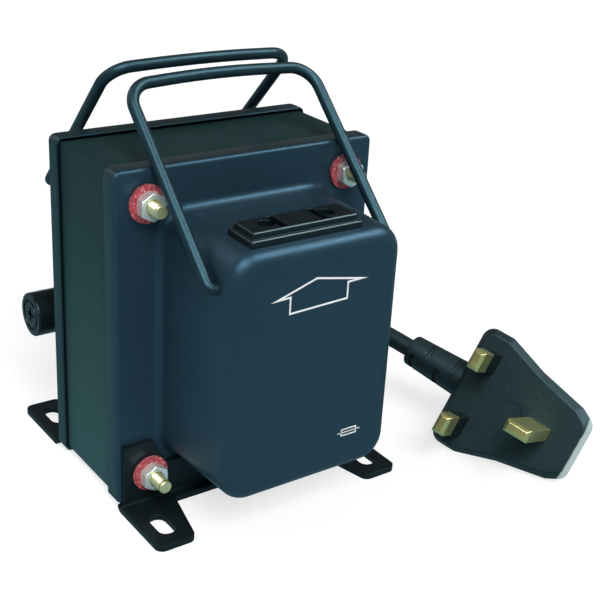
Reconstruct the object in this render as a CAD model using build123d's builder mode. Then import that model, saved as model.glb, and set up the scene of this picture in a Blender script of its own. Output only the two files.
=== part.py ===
from build123d import *
import math
import os

# A carry-handled step-down transformer with a plug lead, in millimetres.
# X runs to the right, Y to the rear and Z up. The origin is on the floor, below the middle.

# Laminated core, whose sheets follow from the width of an outer leg by the standard shares
leg_width = 16.0
core_height_share = 6
core_width_share = 5
window_share = 3
centre_leg_share = 2
stud_height_share = 2.5
stack_depth = 38.2
floor_gap = 1.3
yoke_break = 0.05

# Pressed covers
sheet = 0.8
cover_overhang = 1.3
cover_overhang_end = 1.4
skirt_depth = 5.8
fold_radius = 1.2
cover_corner = 2.0
bell_stud_side = 4.3
bell_stud_end = 3.5
bell_depth = 34.4
bell_corner = 8.0
bell_edge = 4.0
root_radius = 1.8
bell_draft = 1.2

# Coil former and windings
former_wall = 1.2
former_clearance = 0.3
cheek_clearance = 0.3
primary_build = 5.0
secondary_build = 3.6
tape_build = 0.5
winding_corner = 3.0
winding_end_gap = 0.4

# Through studs and what they carry
stud_diameter = 4.0
stud_hole = 4.4
upper_stud_reach = 8.2
lower_stud_reach = 11.4
stud_tip = 0.5
washer_diameter = 10.6
washer_thickness = 1.2
nut_flats = 7.0
nut_height = 3.2
nut_chamfer = 0.35

# Foot brackets
foot_plate = 1.8
foot_reach = 45.3
foot_bend = 2.4
foot_bend_inner = 0.6
foot_web = 5.1
foot_tab_root = 16.0
foot_tab_tip = 11.6
foot_tip_radius = 2.5
foot_lobe_rise = 9.7
foot_lobe_gap = 3.0
foot_slope_width = 4.6
foot_waist_gap = 2.0
foot_lobe_radius = 3.0
foot_waist_radius = 2.2
slot_length = 9.0
slot_width = 4.4
slot_side = 6.1
slot_tip = 9.9

# Carry rods
rod_diameter = 3.3
rod_side_gap = 0.62
rod_pivot_reach = 27.3
rod_pivot_drop = 3.1
rod_length = 59.9
rod_bow = 1.2
rod_corner = 7.3
rod_foot_corner = 2.2
rod_inside = 5.0
rod_hole_clearance = 0.15
rest_gap = 0.3
rear_rod_lift = 3.0

# Outlet on top of the front cover
outlet_x = -2.6
outlet_length = 34.4
outlet_width = 11.0
outlet_back = 20.1
outlet_base = 1.9
outlet_step = 1.8
outlet_step_inset = 1.0
outlet_edge = 0.35
outlet_body_length = 28.4
outlet_body_width = 9.4
outlet_body_depth = 13.0
outlet_fit = 0.2
blade_spacing = 12.7
pin_spacing = 19.0
blade_slot_length = 7.4
blade_slot_width = 2.2
pin_hole = 4.4
slot_depth = 12.0
contact_sheet = 0.5
contact_width = 5.0
contact_length = 8.0
contact_fit = 0.2

# Fuse holder on the left wall of the rear cover
fuse_winding_gap = 1.0
fuse_rise = 16.3
holder_flange = 14.2
holder_flange_thickness = 1.8
holder_barrel = 10.6
holder_hole_clearance = 0.1
holder_barrel_length = 23.0
holder_bore = 6.4
fuse_end_gap = 0.3
holder_mouth = 8.8
holder_mouth_depth = 5.2
holder_nut_flats = 14.0
holder_nut_thickness = 2.6
holder_nut_clearance = 0.05
cap_diameter = 13.6
cap_proud = 0.5
cap_neck = 8.4
cap_neck_length = 4.6
cap_face_gap = 0.3
cap_edge = 0.6
cap_ring = 10.0
cap_disc = 8.0
cap_ring_depth = 0.6
cap_slot_width = 1.2
cap_slot_length = 5.2
cap_slot_depth = 1.0
fuse_diameter = 5.2
fuse_length = 20.0
fuse_cap_length = 5.0
fuse_glass = 4.8
fuse_glass_wall = 0.6
fuse_socket_depth = 3.4
fuse_grip = 0.05

# Cord, its gland and its plug
cord_diameter = 6.0
gland_reach = 23.1
gland_rise = 7.8
gland_flange = 13.0
gland_flange_thickness = 2.2
gland_neck = 9.6
gland_lip = 11.4
gland_lip_length = 2.4
gland_hole_clearance = 0.1
gland_boot = 10.4
gland_boot_tip = 7.9
gland_boot_length = 22.0
gland_ribs = 5
gland_rib_width = 1.6
gland_rib_depth = 0.8
coil_x = 57.0
coil_y = 115.0
coil_inner = 29.0
coil_turn_gap = 1.0
coil_layer_gap = 0.6
coil_quarters = 14
coil_samples = 12
gland_run = 20.0
gland_coil_run = 19.0
tail_run = 16.0
tail_coil_run = 15.0

plug_x = 71.2
plug_y = -45.2
plug_z = 19.6
plug_across_shares = (-0.456, 0.055, -0.888)
plug_face_shares = (-0.836, -0.369, 0.406)
plug_bevel = 1.6
plug_rim = 2.6
plug_back = 15.5
plug_back_inset = 6.2
plug_edge = 0.8
plug_back_edge = 1.5
plug_base_half = 20.4
plug_base_end = 7.8
plug_shoulder = 2.0
plug_waist_half = 15.9
plug_waist = 15.0
plug_top_half = 12.4
plug_top = 31.0
plug_top_end = 36.4
plug_corner = 4.0
plug_back_corner = 2.5
plug_top_corner = 3.0
pin_pitch = 22.2
line_pin_width = 6.35
line_pin_thickness = 3.97
line_pin_length = 17.7
line_sleeve_length = 9.4
sleeve_wall = 0.25
earth_pin_width = 7.95
earth_pin_thickness = 3.97
earth_pin_length = 22.7
pin_chamfer = 0.9
pin_root = 4.0
tail_depth = 7.6
tail_length = 20.5
tail_root = 12.4
tail_tip = 10.2
tail_sunk = 5.0
tail_tip_round = 0.8
tail_notches = 4
tail_notch_start = 2.1
tail_notch_pitch = 4.9
tail_notch_width = 1.6
tail_notch_depth = 1.2
tail_notch_web = 0.6
plug_screw_y = 12.8
plug_screw_diameter = 7.0
plug_screw_sunk = 0.4
plug_screw_depth = 3.0

overrun = 1.0

# Sizes that follow
core_height = core_height_share * leg_width
core_width = core_width_share * leg_width
window_length = window_share * leg_width
limb = leg_width
centre_limb = centre_leg_share * leg_width
half_stack = stack_depth / 2
cover_face = half_stack + sheet
cover_width = core_width + 2 * cover_overhang
cover_height = core_height + 2 * cover_overhang_end
stud_x = centre_leg_share * leg_width
stud_z = stud_height_share * leg_width
core_z = floor_gap + cover_overhang_end + core_height / 2
bell_half_width = stud_x - bell_stud_side
bell_half_height = stud_z - bell_stud_end
bell_straight_low = core_z - bell_half_height + bell_corner
bell_straight_high = core_z + bell_half_height - bell_corner
foot_lobe_height = core_z - stud_z + foot_lobe_rise
foot_lobe_width = cover_width / 2 - bell_half_width - foot_lobe_gap
foot_waist_height = core_z - bell_half_height - foot_waist_gap
rod_radius = rod_diameter / 2
rod_pivot_y = cover_face + rod_pivot_reach
rod_pivot_z = bell_straight_high - rod_pivot_drop
draft_slope = math.tan(math.radians(bell_draft))
pivot_wall = bell_half_width - (rod_pivot_y - cover_face) * draft_slope
rod_half_width = pivot_wall + rod_side_gap + rod_radius
former_depth = stack_depth + 2 * former_clearance + 2 * former_wall
winding_total = primary_build + secondary_build + tape_build
fuse_y = former_depth / 2 + winding_total + fuse_winding_gap + holder_barrel / 2
fuse_z = bell_straight_low + fuse_rise
gland_y = cover_face + gland_reach
gland_z = bell_straight_low + gland_rise
fuse_wall = bell_half_width - (fuse_y - holder_flange / 2 - cover_face) * draft_slope
gland_wall = bell_half_width - (gland_y - gland_flange / 2 - cover_face) * draft_slope
holder_nut_corner = holder_nut_flats / math.sqrt(3)
fuse_wall_inside = bell_half_width - sheet - (fuse_y + holder_nut_corner - cover_face) * draft_slope
gland_wall_inside = bell_half_width - sheet - (gland_y + gland_flange / 2 - cover_face) * draft_slope
slot_x = cover_width / 2 - slot_side
slot_y = foot_reach - slot_tip
outlet_middle = outlet_back + outlet_width / 2
outlet_top_wall = bell_half_height - outlet_middle * draft_slope

os.makedirs("parts", exist_ok=True)


def save(piece, name):
    """Write one finished piece under its own name."""
    piece.part.label = name
    export_step(piece.part, f"parts/{name}.step")


def cover_plane(side):
    """Plane of the core's face with its normal pointing outward: side -1 is the front, 1 the rear."""
    return Plane(origin=(0, side * half_stack, core_z), x_dir=(-side, 0, 0), z_dir=(0, side, 0))


# Core

with BuildPart() as core_e:
    with BuildSketch(Plane.XZ.offset(-half_stack)):
        with Locations((0, core_z)):
            Rectangle(core_width, core_height)
            for level in (-1, 1):
                with Locations((limb / 2, level * (centre_limb + limb) / 2)):
                    Rectangle(window_length + limb, limb, mode=Mode.SUBTRACT)
            with Locations(((core_width - limb) / 2, 0)):
                Rectangle(limb + 2 * yoke_break, core_height, mode=Mode.SUBTRACT)
            with GridLocations(2 * stud_x, 2 * stud_z, 2, 2):
                Circle(stud_hole / 2, mode=Mode.SUBTRACT)
    extrude(amount=stack_depth)
save(core_e, "core_e_stack")

with BuildPart() as core_i:
    with BuildSketch(Plane.XZ.offset(-half_stack)):
        with Locations(((core_width - limb) / 2, core_z)):
            Rectangle(limb, core_height)
            with GridLocations(2 * stud_x, 2 * stud_z, 1, 2):
                Circle(stud_hole / 2, mode=Mode.SUBTRACT)
    extrude(amount=stack_depth)
save(core_i, "core_i_stack")

# Coil former with a tube round the centre limb and a cheek at each end

former_height = centre_limb + 2 * former_clearance + 2 * former_wall
former_length = window_length - 2 * cheek_clearance
cheek_depth = former_depth + 2 * winding_total
cheek_height = former_height + 2 * winding_total


def limb_section(depth, height, corner=0):
    """Rectangle round the centre limb, seen along X."""
    with Locations((0, core_z)):
        if corner:
            RectangleRounded(depth, height, corner)
        else:
            Rectangle(depth, height)


with BuildPart() as former:
    with BuildSketch(Plane.YZ.offset(-former_length / 2)):
        limb_section(former_depth, former_height)
    extrude(amount=former_length)
    for start in (-former_length / 2, former_length / 2 - former_wall):
        with BuildSketch(Plane.YZ.offset(start)):
            limb_section(cheek_depth, cheek_height, winding_corner)
        extrude(amount=former_wall)
    with BuildSketch(Plane.YZ.offset(-window_length / 2)):
        limb_section(stack_depth + 2 * former_clearance, centre_limb + 2 * former_clearance)
    extrude(amount=window_length, mode=Mode.SUBTRACT)
save(former, "coil_former")


def wound_layer(inner, build, shorter):
    """A wound ring on the former, as thick as its build."""
    length = former_length - 2 * former_wall - 2 * winding_end_gap - shorter
    with BuildPart() as ring:
        with BuildSketch(Plane.YZ.offset(-length / 2)):
            outer = inner + build
            limb_section(former_depth + 2 * outer, former_height + 2 * outer, winding_corner)
            with Locations((0, core_z)):
                if inner:
                    RectangleRounded(former_depth + 2 * inner, former_height + 2 * inner,
                                     winding_corner, mode=Mode.SUBTRACT)
                else:
                    Rectangle(former_depth, former_height, mode=Mode.SUBTRACT)
        extrude(amount=length)
    return ring


save(wound_layer(0, primary_build, 0), "primary_winding")
save(wound_layer(primary_build, secondary_build, winding_end_gap), "secondary_winding")
save(wound_layer(primary_build + secondary_build, tape_build, 0), "winding_tape")

# Covers


def pressed_form(side, inset):
    """Outer or inner form of a cover: flat flange, folded skirt and drawn bell."""
    plane = cover_plane(side)
    back = overrun if inset else 0
    with BuildPart() as form:
        with BuildSketch(plane.offset(sheet - skirt_depth - back)):
            RectangleRounded(cover_width - 2 * inset, cover_height - 2 * inset, cover_corner - inset)
        extrude(amount=skirt_depth + back - inset)
        face_edges = form.faces().sort_by(Axis.Y)[0 if side < 0 else -1].edges()
        fillet(face_edges, fold_radius - inset)
        with BuildSketch(plane.offset(sheet - inset)):
            RectangleRounded(2 * (bell_half_width - inset), 2 * (bell_half_height - inset),
                             bell_corner - inset)
        extrude(amount=bell_depth, taper=bell_draft)
        front = form.faces().sort_by(Axis.Y)[0 if side < 0 else -1]
        fillet(front.edges(), bell_edge - inset)
        level = side * (cover_face - inset)
        root = form.edges().filter_by(lambda edge: abs(edge.center().Y - level) < rest_gap
                                      and abs(edge.center().X) < bell_half_width + rest_gap
                                      and abs(edge.center().Z - core_z) < bell_half_height + rest_gap)
        fillet(root, root_radius + inset)
    return form.part


# Outlet plane lies on the sloping top wall of the front bell
outlet_plane = Plane(
    origin=(outlet_x, -cover_face - outlet_middle, core_z + outlet_top_wall),
    x_dir=(1, 0, 0),
    z_dir=(0, -math.sin(math.radians(bell_draft)), math.cos(math.radians(bell_draft))),
)


def wall_plane(side, wall, y, z):
    """Plane standing on a side wall of the rear bell, its normal pointing outward."""
    return Plane(origin=(side * wall, y, z), x_dir=(0, side, 0), z_dir=(side, 0, 0))


fuse_axis = wall_plane(-1, fuse_wall, fuse_y, fuse_z)
gland_axis = wall_plane(1, gland_wall, gland_y, gland_z)


def cover(side):
    """A pressed cover with its stud holes, carry rod holes and the openings of its fittings."""
    with BuildPart() as shell:
        add(pressed_form(side, 0))
        add(pressed_form(side, sheet), mode=Mode.SUBTRACT)
        with BuildSketch(cover_plane(side).offset(-overrun)):
            with GridLocations(2 * stud_x, 2 * stud_z, 2, 2):
                Circle(stud_hole / 2)
        extrude(amount=sheet + 2 * overrun, mode=Mode.SUBTRACT)
        with BuildSketch(Plane.YZ.offset(-bell_half_width - overrun)):
            with Locations((side * rod_pivot_y, rod_pivot_z)):
                Circle(rod_radius + rod_hole_clearance)
        extrude(amount=2 * (bell_half_width + overrun), mode=Mode.SUBTRACT)
        if side < 0:
            with BuildSketch(outlet_plane.offset(overrun)):
                Rectangle(outlet_body_length + 2 * outlet_fit, outlet_body_width + 2 * outlet_fit)
            extrude(amount=-(sheet + 2 * overrun), mode=Mode.SUBTRACT)
        else:
            with BuildSketch(fuse_axis.offset(overrun)):
                Circle(holder_barrel / 2 + holder_hole_clearance)
            extrude(amount=-(sheet + 3 * overrun), mode=Mode.SUBTRACT)
            with BuildSketch(gland_axis.offset(overrun)):
                Circle(gland_neck / 2 + gland_hole_clearance)
            extrude(amount=-(sheet + 3 * overrun), mode=Mode.SUBTRACT)
    return shell


save(cover(-1), "front_cover")
save(cover(1), "rear_cover")

# Foot brackets: a leg behind the lower nuts and two slotted tabs on the floor


def foot_bracket(side):
    """A bent plate: side -1 is the front one."""
    half = cover_width / 2
    with BuildPart() as bracket:
        with BuildSketch(Plane.XZ.offset(-side * cover_face)):
            with BuildLine():
                Polyline(
                    (-half, 0),
                    (-half, foot_lobe_height),
                    (-half + foot_lobe_width, foot_lobe_height),
                    (-half + foot_lobe_width + foot_slope_width, foot_waist_height),
                    (half - foot_lobe_width - foot_slope_width, foot_waist_height),
                    (half - foot_lobe_width, foot_lobe_height),
                    (half, foot_lobe_height),
                    (half, 0),
                    close=True,
                )
            make_face()
            high = vertices().filter_by(lambda v: v.Z > (foot_lobe_height + foot_waist_height) / 2)
            fillet(high, foot_lobe_radius)
            low = vertices().filter_by(lambda v: abs(v.Z - foot_waist_height) < foot_plate)
            inner = low.filter_by(lambda v: abs(v.X) < half - foot_lobe_width - foot_slope_width / 2)
            fillet(inner, foot_waist_radius)
            with Locations((-stud_x, core_z - stud_z), (stud_x, core_z - stud_z)):
                Circle(stud_hole / 2, mode=Mode.SUBTRACT)
        extrude(amount=-side * foot_plate)
        with BuildSketch():
            with BuildLine():
                Polyline(
                    (-half, side * cover_face),
                    (-half, side * foot_reach),
                    (-half + foot_tab_tip, side * foot_reach),
                    (-half + foot_tab_root, side * (cover_face + foot_web)),
                    (half - foot_tab_root, side * (cover_face + foot_web)),
                    (half - foot_tab_tip, side * foot_reach),
                    (half, side * foot_reach),
                    (half, side * cover_face),
                    close=True,
                )
            make_face()
            tips = vertices().filter_by(lambda v: abs(v.Y) > foot_reach - foot_plate)
            fillet(tips, foot_tip_radius)
            with Locations((-slot_x, side * slot_y), (slot_x, side * slot_y)):
                SlotOverall(slot_length, slot_width, rotation=90, mode=Mode.SUBTRACT)
        extrude(amount=foot_plate)
        along = bracket.edges().filter_by(Axis.X)
        outer = along.filter_by(lambda e: abs(abs(e.center().Y) - cover_face) < foot_bend_inner
                                and e.center().Z < foot_bend_inner)
        fillet(outer, foot_bend)
        along = bracket.edges().filter_by(Axis.X)
        seam = along.filter_by(lambda e: abs(abs(e.center().Y) - cover_face - foot_plate) < foot_bend_inner
                               and abs(e.center().Z - foot_plate) < foot_bend_inner)
        fillet(seam, foot_bend_inner)
    return bracket


save(foot_bracket(-1), "front_foot_bracket")
save(foot_bracket(1), "rear_foot_bracket")

# Studs, washers and nuts at the four corners of each cover


def studs(level, reach):
    """The pair of studs at one level, with a short cone at each tip."""
    with BuildPart() as pair:
        with BuildSketch(Plane.XZ.offset(-cover_face - reach)):
            with Locations((-stud_x, core_z + level * stud_z), (stud_x, core_z + level * stud_z)):
                Circle(stud_diameter / 2)
        extrude(amount=2 * (cover_face + reach))
        rims = pair.edges().filter_by(GeomType.CIRCLE)
        chamfer(rims, stud_tip)
    return pair


save(studs(1, upper_stud_reach), "upper_studs")
save(studs(-1, lower_stud_reach), "lower_studs")

corner_seats = [(x, level, side) for side in (-1, 1) for level in (-1, 1) for x in (-stud_x, stud_x)]


def seat_plane(x, level, side, height):
    """Plane on a stud, as far out from the cover's face as height and any bracket there."""
    lift = height + (foot_plate if level < 0 else 0)
    origin = (x, side * (cover_face + lift), core_z + level * stud_z)
    return Plane(origin=origin, x_dir=(1, 0, 0), z_dir=(0, side, 0))


with BuildPart() as washers:
    for x, level, side in corner_seats:
        with BuildSketch(seat_plane(x, level, side, 0)):
            Circle(washer_diameter / 2)
            Circle(stud_hole / 2, mode=Mode.SUBTRACT)
        extrude(amount=washer_thickness)
save(washers, "fibre_washers")

with BuildPart() as nuts:
    for x, level, side in corner_seats:
        plane = seat_plane(x, level, side, washer_thickness)
        with BuildSketch(plane):
            RegularPolygon(nut_flats / 2, 6, major_radius=False, rotation=30)
        extrude(amount=nut_height)
        with BuildSketch(plane):
            Circle(nut_flats / math.sqrt(3) + overrun)
            Circle(nut_flats / 2 + nut_chamfer, mode=Mode.SUBTRACT)
        extrude(amount=nut_chamfer, mode=Mode.SUBTRACT)
        with BuildSketch(plane):
            Circle(stud_diameter / 2)
        extrude(amount=nut_height, mode=Mode.SUBTRACT)
save(nuts, "hex_nuts")

# Carry rods, each leaning in until its legs rest on the fold of its cover

fold_y = cover_face - fold_radius
fold_z = core_z + cover_height / 2 - fold_radius
fold_distance = math.hypot(rod_pivot_y - fold_y, fold_z - rod_pivot_z)
fold_angle = math.degrees(math.atan2(rod_pivot_y - fold_y, fold_z - rod_pivot_z))
rest_angle = math.degrees(math.asin((fold_radius + rod_radius + rest_gap) / fold_distance))
rest_lean = fold_angle - rest_angle


def carry_rod(side, lean):
    """A bent rod in its own plane: x across, y along the legs from the pivot."""
    tilt = math.radians(lean)
    origin = (0, side * rod_pivot_y, rod_pivot_z)
    normal = (0, -math.cos(tilt), -side * math.sin(tilt))
    plane = Plane(origin=origin, x_dir=(1, 0, 0), z_dir=normal)
    bow_radius = (rod_half_width ** 2 + rod_bow ** 2) / (2 * rod_bow)
    bow_centre = rod_length + rod_bow - bow_radius
    corner_x = rod_half_width - rod_corner
    corner_y = bow_centre + math.sqrt((bow_radius - rod_corner) ** 2 - corner_x ** 2)
    touch = bow_radius / (bow_radius - rod_corner)
    touch_x = corner_x * touch
    touch_y = bow_centre + (corner_y - bow_centre) * touch
    end_x = pivot_wall - rod_inside
    foot = rod_half_width - rod_foot_corner
    with BuildPart() as rod:
        with BuildLine(plane) as path:
            Line((-end_x, 0), (-foot, 0))
            RadiusArc((-foot, 0), (-rod_half_width, rod_foot_corner), rod_foot_corner)
            Line((-rod_half_width, rod_foot_corner), (-rod_half_width, corner_y))
            RadiusArc((-rod_half_width, corner_y), (-touch_x, touch_y), rod_corner)
            RadiusArc((-touch_x, touch_y), (touch_x, touch_y), bow_radius)
            RadiusArc((touch_x, touch_y), (rod_half_width, corner_y), rod_corner)
            Line((rod_half_width, corner_y), (rod_half_width, rod_foot_corner))
            RadiusArc((rod_half_width, rod_foot_corner), (foot, 0), rod_foot_corner)
            Line((foot, 0), (end_x, 0))
        with BuildSketch(Plane(origin=path.line @ 0, z_dir=path.line % 0)):
            Circle(rod_radius)
        sweep()
    return rod


save(carry_rod(-1, rest_lean), "front_carry_rod")
save(carry_rod(1, rest_lean - rear_rod_lift), "rear_carry_rod")

# Outlet with a stepped face, keyhole slots for flat blades or round pins, and a body below the wall

step_length = outlet_length - 2 * outlet_step_inset
step_width = outlet_width - 2 * outlet_step_inset
top_height = outlet_base + outlet_step

with BuildPart() as outlet:
    with BuildSketch(outlet_plane):
        Rectangle(outlet_length, outlet_width)
    extrude(amount=outlet_base)
    chamfer(outlet.faces().sort_by(Axis.Z)[-1].edges(), outlet_edge)
    with BuildSketch(outlet_plane.offset(outlet_base)):
        Rectangle(step_length, step_width)
    extrude(amount=outlet_step)
    chamfer(outlet.faces().sort_by(Axis.Z)[-1].edges(), outlet_edge)
    with BuildSketch(outlet_plane):
        Rectangle(outlet_body_length, outlet_body_width)
    extrude(amount=-outlet_body_depth)
    for hand in (-1, 1):
        with BuildSketch(outlet_plane.offset(top_height)):
            with Locations((hand * blade_spacing / 2, 0)):
                Rectangle(blade_slot_width, blade_slot_length)
            with Locations((hand * pin_spacing / 2, 0)):
                Circle(pin_hole / 2)
            with Locations((hand * (blade_spacing + pin_spacing) / 4, 0)):
                Rectangle((pin_spacing - blade_spacing) / 2, blade_slot_width)
        extrude(amount=-slot_depth, mode=Mode.SUBTRACT)
save(outlet, "outlet_body")

contact_gap = blade_slot_width - 2 * contact_sheet - 2 * contact_fit
with BuildPart() as contacts:
    for hand in (-1, 1):
        with BuildSketch(outlet_plane.offset(top_height - slot_depth)):
            with Locations((hand * blade_spacing / 2, 0)):
                Rectangle(blade_slot_width - 2 * contact_fit, contact_width)
                Rectangle(contact_gap, contact_width, mode=Mode.SUBTRACT)
        extrude(amount=contact_length)
        with BuildSketch(outlet_plane.offset(top_height - slot_depth)):
            with Locations((hand * blade_spacing / 2, 0)):
                Rectangle(blade_slot_width - 2 * contact_fit, contact_width)
        extrude(amount=contact_sheet)
save(contacts, "outlet_contacts")

# Fuse holder through the left wall of the rear cover, with a cap that carries the fuse link

cap_front = cover_width / 2 + cap_proud - fuse_wall
cap_back = holder_flange_thickness + cap_face_gap
neck_end = cap_back - cap_neck_length
fuse_front = neck_end + fuse_socket_depth
fuse_back = fuse_front - fuse_length
bore_end = fuse_back - fuse_end_gap

with BuildPart() as holder:
    with BuildSketch(fuse_axis):
        Circle(holder_flange / 2)
    extrude(amount=holder_flange_thickness)
    with BuildSketch(fuse_axis):
        Circle(holder_barrel / 2)
    extrude(amount=-holder_barrel_length)
    with BuildSketch(fuse_axis.offset(holder_flange_thickness)):
        Circle(holder_mouth / 2)
    extrude(amount=-holder_mouth_depth, mode=Mode.SUBTRACT)
    with BuildSketch(fuse_axis.offset(holder_flange_thickness)):
        Circle(holder_bore / 2)
    extrude(amount=bore_end - holder_flange_thickness, mode=Mode.SUBTRACT)
save(holder, "fuse_holder_body")

with BuildPart() as holder_nut:
    with BuildSketch(fuse_axis.offset(fuse_wall_inside - fuse_wall)):
        RegularPolygon(holder_nut_flats / 2, 6, major_radius=False)
        Circle(holder_barrel / 2 + holder_nut_clearance, mode=Mode.SUBTRACT)
    extrude(amount=-holder_nut_thickness)
save(holder_nut, "fuse_holder_nut")

with BuildPart() as fuse_cap:
    with BuildSketch(fuse_axis.offset(cap_back)):
        Circle(cap_diameter / 2)
    extrude(amount=cap_front - cap_back)
    rims = fuse_cap.edges().filter_by(GeomType.CIRCLE).sort_by(Axis.X)
    fillet(rims[0], cap_edge)
    chamfer(rims[-1], cap_edge / 2)
    with BuildSketch(fuse_axis.offset(cap_back)):
        Circle(cap_neck / 2)
    extrude(amount=-cap_neck_length)
    with BuildSketch(fuse_axis.offset(neck_end)):
        Circle(fuse_diameter / 2 + fuse_grip)
    extrude(amount=fuse_socket_depth, mode=Mode.SUBTRACT)
    with BuildSketch(fuse_axis.offset(cap_front)):
        Circle(cap_ring / 2)
        Circle(cap_disc / 2, mode=Mode.SUBTRACT)
    extrude(amount=-cap_ring_depth, mode=Mode.SUBTRACT)
    with BuildSketch(fuse_axis.offset(cap_front)):
        SlotOverall(cap_slot_length, cap_slot_width)
        SlotOverall(cap_slot_length, cap_slot_width, rotation=90)
    extrude(amount=-cap_slot_depth, mode=Mode.SUBTRACT)
save(fuse_cap, "fuse_cap")

with BuildPart() as fuse_tube:
    with BuildSketch(fuse_axis.offset(fuse_front - fuse_glass_wall)):
        Circle(fuse_glass / 2)
        Circle(fuse_glass / 2 - fuse_glass_wall, mode=Mode.SUBTRACT)
    extrude(amount=-(fuse_length - 2 * fuse_glass_wall))
save(fuse_tube, "fuse_glass_tube")

with BuildPart() as fuse_ends:
    for end, inward in ((fuse_front, -1), (fuse_back, 1)):
        with BuildSketch(fuse_axis.offset(end)):
            Circle(fuse_diameter / 2)
        extrude(amount=inward * fuse_cap_length)
        with BuildSketch(fuse_axis.offset(end + inward * fuse_glass_wall)):
            Circle(fuse_glass / 2 + fuse_grip)
        extrude(amount=inward * fuse_cap_length, mode=Mode.SUBTRACT)
save(fuse_ends, "fuse_end_caps")

# Gland on the right wall of the rear cover: a flange, a neck with a snap lip and a ribbed boot

gland_end = gland_flange_thickness + gland_boot_length

with BuildPart() as gland:
    with BuildSketch(gland_axis):
        Circle(gland_flange / 2)
    extrude(amount=gland_flange_thickness)
    with BuildSketch(gland_axis):
        Circle(gland_neck / 2)
    extrude(amount=-(gland_wall - gland_wall_inside + gland_lip_length))
    with BuildSketch(gland_axis.offset(gland_wall_inside - gland_wall)):
        Circle(gland_lip / 2)
    extrude(amount=-gland_lip_length)
    with BuildSketch(gland_axis.offset(gland_flange_thickness)):
        Circle(gland_boot / 2)
    with BuildSketch(gland_axis.offset(gland_end)):
        Circle(gland_boot_tip / 2)
    loft()
    for rib in range(gland_ribs):
        share = (rib + 1) / (gland_ribs + 1)
        core = (gland_boot + (gland_boot_tip - gland_boot) * share) / 2 - gland_rib_depth
        with BuildSketch(gland_axis.offset(gland_flange_thickness + gland_boot_length * share)):
            Circle(gland_flange / 2)
            Circle(core, mode=Mode.SUBTRACT)
        extrude(amount=gland_rib_width, mode=Mode.SUBTRACT)
save(gland, "cord_gland")

# Plug: x across the two live pins, y toward the earth pin and z out along the pins

plug_plane = Plane(
    origin=(plug_x, plug_y, plug_z),
    x_dir=plug_across_shares,
    z_dir=plug_face_shares,
)
live_pins = [(-pin_pitch / 2, 0), (pin_pitch / 2, 0)]
earth_pin = [(0, pin_pitch)]


def tail_plane(distance):
    """Plane square to the plug's tail, so far out from the plug's end."""
    origin = plug_plane.from_local_coords((0, -plug_base_end - distance, -tail_depth))
    return Plane(origin=origin, x_dir=plug_plane.z_dir, z_dir=-plug_plane.y_dir)


def plug_outline(inset, corner):
    """Outline of the plug, wide at the live pins and drawn in toward the earth pin."""
    base_half = plug_base_half - inset
    waist_half = plug_waist_half - inset
    top_half = plug_top_half - inset
    top = plug_top - inset
    top_end = plug_top_end - inset
    with BuildSketch() as outline:
        with BuildLine():
            Polyline(
                (-base_half, inset - plug_base_end),
                (-base_half, plug_shoulder),
                (-waist_half, plug_waist),
                (-top_half, top),
                (-top_half + plug_top_corner, top_end),
                (top_half - plug_top_corner, top_end),
                (top_half, top),
                (waist_half, plug_waist),
                (base_half, plug_shoulder),
                (base_half, inset - plug_base_end),
                close=True,
            )
        make_face()
        rows = outline.vertices().group_by(Axis.Y)
        fillet(rows[0] + rows[1] + rows[3] + rows[4], corner)
    return outline.sketch


with BuildPart() as plug_body:
    with BuildSketch(plug_plane):
        add(plug_outline(plug_bevel, plug_corner - plug_bevel / 2))
    with BuildSketch(plug_plane.offset(-plug_rim)):
        add(plug_outline(0, plug_corner))
    loft(ruled=True)
    with BuildSketch(plug_plane.offset(-plug_rim)):
        add(plug_outline(0, plug_corner))
    with BuildSketch(plug_plane.offset(-plug_back)):
        add(plug_outline(plug_back_inset, plug_back_corner))
    loft(ruled=True)
    back = plug_body.faces().sort_by(Axis(plug_plane.origin, plug_plane.z_dir))[0]
    fillet(back.edges(), plug_back_edge)
    face = plug_body.faces().sort_by(Axis(plug_plane.origin, plug_plane.z_dir))[-1]
    fillet(face.edges(), plug_edge)
    with BuildSketch(tail_plane(-tail_sunk)):
        Circle(tail_root / 2)
    with BuildSketch(tail_plane(tail_length)):
        Circle(tail_tip / 2)
    loft()
    tip = plug_body.faces().sort_by(Axis(plug_plane.origin, plug_plane.y_dir))[0]
    fillet(tip.edges(), tail_tip_round)
    for notch in range(tail_notches):
        start = tail_notch_start + notch * tail_notch_pitch
        core = (tail_root + (tail_tip - tail_root) * start / tail_length) / 2 - tail_notch_depth
        hand = 1 - 2 * (notch % 2)
        corner = tail_root / 2 + tail_notch_web
        with BuildSketch(tail_plane(start)):
            with Locations((corner, hand * corner), (-corner, -hand * corner)):
                Rectangle(tail_root, tail_root)
            Circle(core, mode=Mode.SUBTRACT)
        extrude(amount=tail_notch_width, mode=Mode.SUBTRACT)
    with BuildSketch(plug_plane):
        with Locations(*live_pins):
            Rectangle(line_pin_width - 2 * sleeve_wall, line_pin_thickness - 2 * sleeve_wall)
        with Locations(*earth_pin):
            Rectangle(earth_pin_thickness, earth_pin_width)
    extrude(amount=-pin_root, mode=Mode.SUBTRACT)
    with BuildSketch(plug_plane):
        with Locations((0, plug_screw_y)):
            Circle(plug_screw_diameter / 2)
    extrude(amount=-plug_screw_depth, mode=Mode.SUBTRACT)
save(plug_body, "plug_body")

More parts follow.
